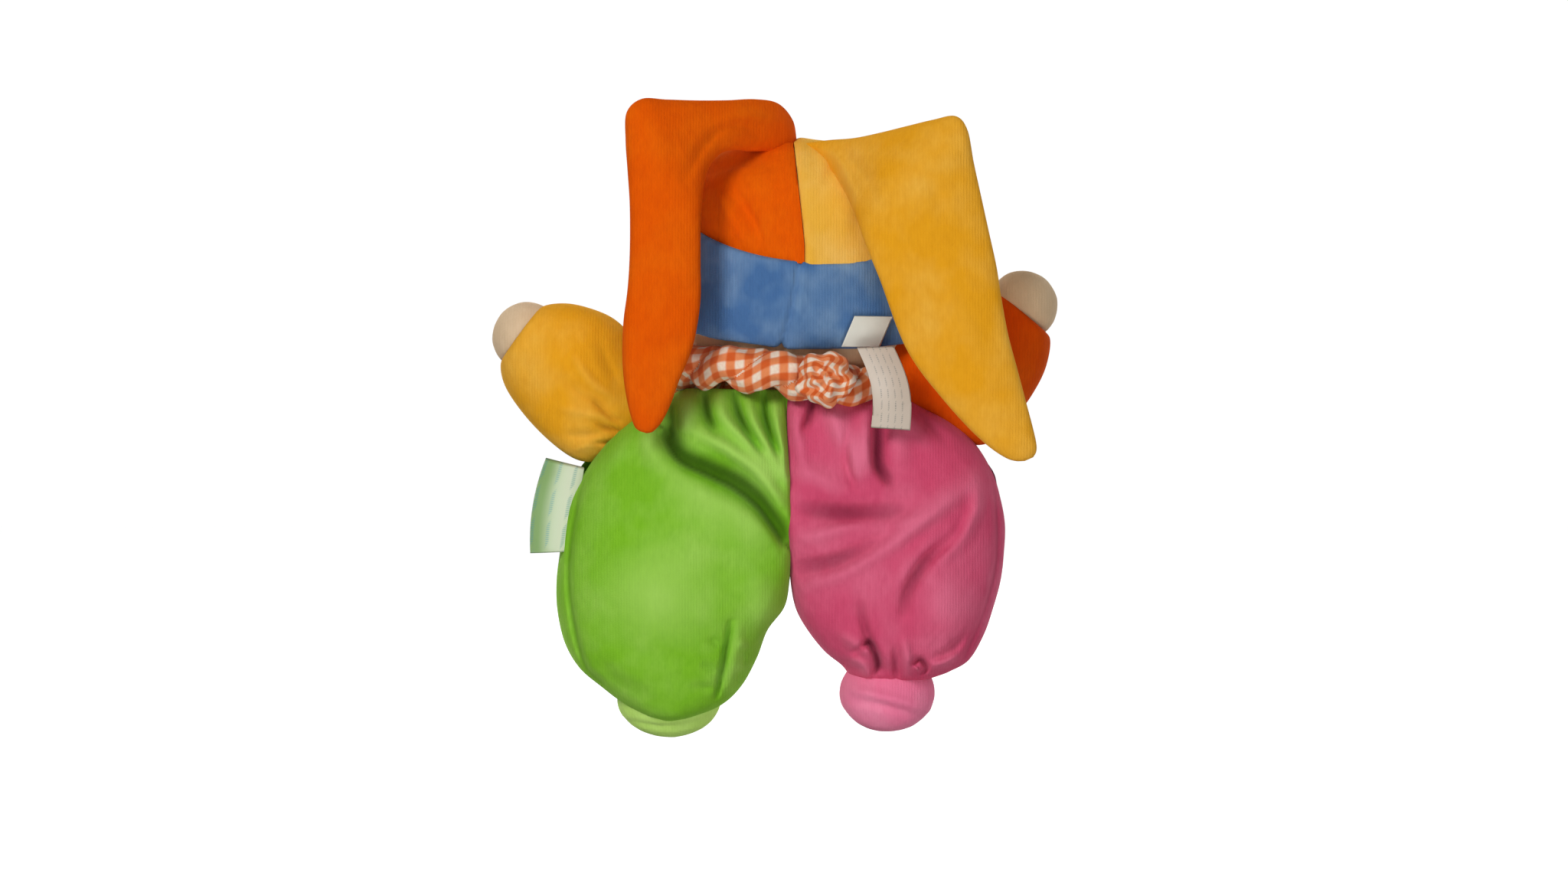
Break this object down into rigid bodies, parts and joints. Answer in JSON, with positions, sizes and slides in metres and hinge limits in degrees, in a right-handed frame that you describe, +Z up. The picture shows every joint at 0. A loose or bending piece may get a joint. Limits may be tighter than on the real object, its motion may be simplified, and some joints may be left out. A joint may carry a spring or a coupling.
{
  "type": "hand puppet",
  "caption": "Soft jester hand puppet with a two-point hat, check neckerchief, padded arms, ballooned romper legs and a hand pocket.",
  "frame": {"origin": "foot of the hand pocket, where the two trouser halves meet, at the wrist of the hand that holds the puppet up", "axes": "+Z up towards the head, +Y towards the face, -Y its back, +X towards its right-hand (pink) side seen from behind"},
  "size_m": [0.2704, 0.1055, 0.3015],
  "materials": {
    "velour_skin": "short-pile velour, undyed beige",
    "velour_orange": "short-pile velour",
    "velour_dark_orange": "short-pile velour",
    "velour_yellow": "short-pile velour",
    "velour_blue": "short-pile velour, brushed patches",
    "velour_green": "short-pile velour",
    "velour_pink": "short-pile velour",
    "gingham": "woven cotton check, orange and white",
    "satin_label": "woven satin tape, plain",
    "lining": "plain cotton lining",
    "stuffing": "polyester fibre filling",
    "thread": "gathering thread",
    "embroidery": "satin-stitch embroidery",
    "embroidery_red": "satin-stitch embroidery"
  },
  "bodies": {
    "torso": {"romper_green_back": "velour_green", "romper_green_front": "velour_green", "romper_pink_back": "velour_pink", "romper_pink_front": "velour_pink", "body_padding_left": "stuffing", "body_padding_right": "stuffing", "pocket_lining": "lining", "neckerchief_roll": "gingham", "neckerchief_knot": "gingham", "neckerchief_triangle": "gingham"},
    "neck": {"neck_plug": "velour_skin"},
    "head": {"head_skin": "velour_skin", "head_stuffing": "stuffing", "left_eye": "embroidery", "right_eye": "embroidery", "nose": "embroidery_red", "mouth": "embroidery_red", "hat_crown_orange": "velour_orange", "hat_crown_yellow": "velour_yellow", "hat_band": "velour_blue", "band_label": "satin_label", "orange_point_foot": "velour_orange", "yellow_point_foot": "velour_yellow"},
    "orange_point": {"orange_point": "velour_orange"},
    "yellow_point": {"yellow_point": "velour_yellow"},
    "care_label": {"care_label": "satin_label"},
    "side_label": {"side_label": "satin_label"},
    "yellow_arm": {"yellow_sleeve": "velour_yellow", "yellow_sleeve_stuffing": "stuffing", "yellow_cuff_thread": "thread"},
    "orange_arm": {"orange_sleeve": "velour_dark_orange", "orange_sleeve_stuffing": "stuffing", "orange_cuff_thread": "thread"},
    "left_hand": {"left_hand": "velour_skin", "left_hand_stuffing": "stuffing"},
    "right_hand": {"right_hand": "velour_skin", "right_hand_stuffing": "stuffing"},
    "green_leg": {"green_leg": "velour_green", "green_leg_stuffing": "stuffing", "green_ankle_thread": "thread"},
    "pink_leg": {"pink_leg": "velour_pink", "pink_leg_stuffing": "stuffing", "pink_ankle_thread": "thread"},
    "green_foot": {"green_foot": "velour_green", "green_foot_stuffing": "stuffing"},
    "pink_foot": {"pink_foot": "velour_pink", "pink_foot_stuffing": "stuffing"}
  },
  "joints": [
    {"name": "head_turn", "type": "hinge", "parent": "torso", "child": "neck", "pos_m": [0.004, 0, 0.1], "axis": [0, 0, 1], "range_deg": [-7, 7]},
    {"name": "head_nod", "type": "hinge", "parent": "neck", "child": "head", "pos_m": [0.004, 0, 0.108], "axis": [1, 0, 0], "range_deg": [-8, 11]},
    {"name": "orange_point_flop", "type": "hinge", "parent": "head", "child": "orange_point", "pos_m": [-0.059, -0.053, 0.206], "axis": [-1, 0, 0], "range_deg": [0, 60]},
    {"name": "yellow_point_flop", "type": "hinge", "parent": "head", "child": "yellow_point", "pos_m": [0.054, -0.054, 0.214], "axis": [-1, 0, 0], "range_deg": [0, 60]},
    {"name": "care_label_flap", "type": "hinge", "parent": "head", "child": "care_label", "pos_m": [0.0416, -0.037, 0.118], "axis": [-0.9842, 0, -0.1772], "range_deg": [0, 40]},
    {"name": "side_label_flap", "type": "hinge", "parent": "torso", "child": "side_label", "pos_m": [-0.1075, 0, 0.045], "axis": [-0.1191, 0, 0.9929], "range_deg": [-50, 50]},
    {"name": "yellow_arm_swing", "type": "hinge", "parent": "torso", "child": "yellow_arm", "pos_m": [-0.082, 0, 0.08], "axis": [-0.65, 0, -0.76], "range_deg": [-8, 55]},
    {"name": "orange_arm_swing", "type": "hinge", "parent": "torso", "child": "orange_arm", "pos_m": [0.075, 0, 0.095], "axis": [-0.6112, 0, 0.7915], "range_deg": [-8, 55]},
    {"name": "left_hand_turn", "type": "hinge", "parent": "yellow_arm", "child": "left_hand", "pos_m": [-0.12509, 0, 0.12501], "axis": [0, 1, 0], "range_deg": [-20, 20]},
    {"name": "right_hand_turn", "type": "hinge", "parent": "orange_arm", "child": "right_hand", "pos_m": [0.1133, 0, 0.13653], "axis": [0, 1, 0], "range_deg": [-20, 20]},
    {"name": "green_leg_swing", "type": "hinge", "parent": "torso", "child": "green_leg", "pos_m": [-0.054, 0, 0.028], "axis": [1, 0, 0], "range_deg": [-20, 45]},
    {"name": "pink_leg_swing", "type": "hinge", "parent": "torso", "child": "pink_leg", "pos_m": [0.052, 0, 0.028], "axis": [1, 0, 0], "range_deg": [-20, 45]},
    {"name": "green_ankle", "type": "hinge", "parent": "green_leg", "child": "green_foot", "pos_m": [-0.057, 0.002, -0.049], "axis": [1, 0, 0], "range_deg": [-15, 15]},
    {"name": "pink_ankle", "type": "hinge", "parent": "pink_leg", "child": "pink_foot", "pos_m": [0.047, 0.001, -0.0435], "axis": [1, 0, 0], "range_deg": [-15, 15]}
  ]
}
